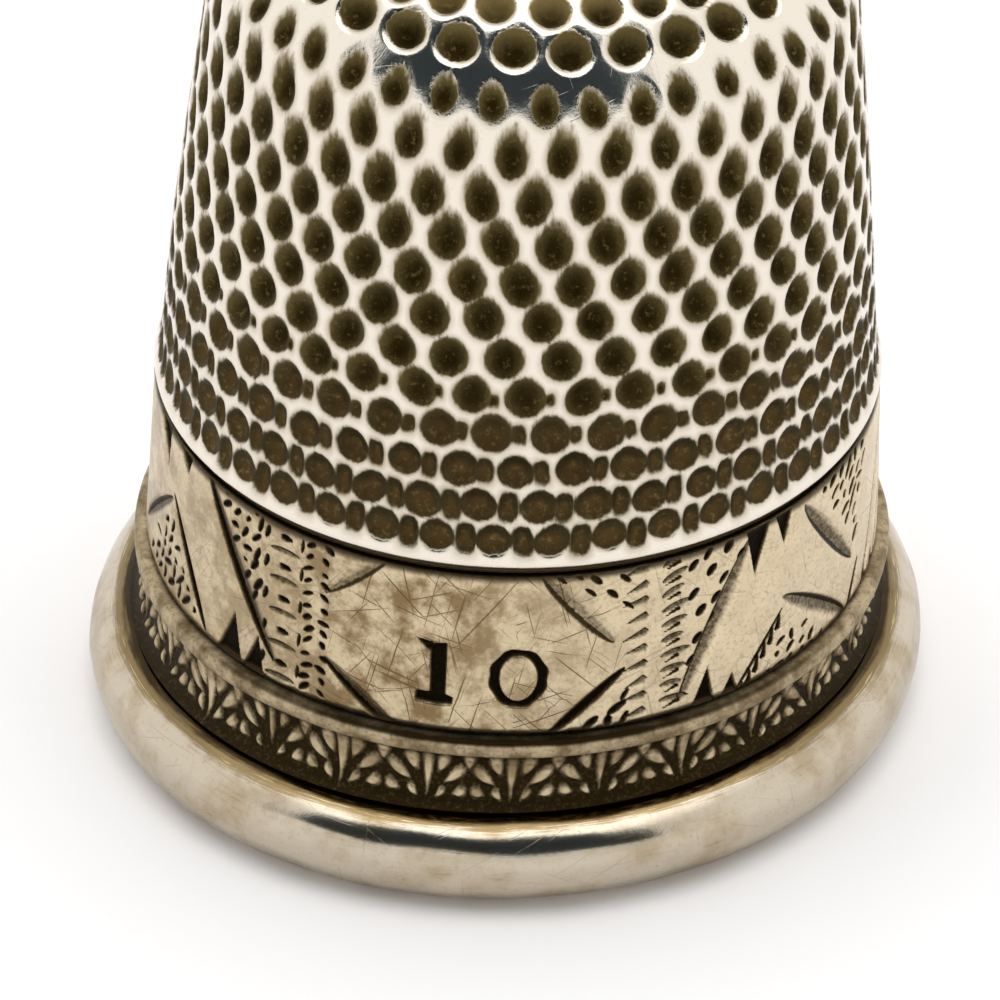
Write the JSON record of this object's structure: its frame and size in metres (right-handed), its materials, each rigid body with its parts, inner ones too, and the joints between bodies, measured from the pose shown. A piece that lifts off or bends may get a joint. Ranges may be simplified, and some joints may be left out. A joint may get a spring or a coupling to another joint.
{
  "type": "sewing thimble",
  "caption": "Open cup for a fingertip, with a dimpled wall and crown, an engraved band, a palmette border and a thick round rim.",
  "frame": {"origin": "centre of the mouth, in the plane that the rim stands on", "axes": "+Z along the thimble's axis, from the mouth to the crown; -Y is the front, with the plain cartouche"},
  "size_m": [0.0208, 0.0208, 0.0243],
  "materials": {
    "shell_silver": "polished sterling silver with dark tarnish in the dimples",
    "band_silver": "scratched, warm-toned sterling silver with dark tarnish in the engraving",
    "border_silver": "worn sterling silver relief on a dark tarnished ground",
    "rim_silver": "satin sterling silver with fine handling marks"
  },
  "bodies": {
    "root": {"dimpled_shell": "shell_silver", "engraved_band": "band_silver", "palmette_border": "border_silver", "rim_ring": "rim_silver"}
  },
  "joints": []
}
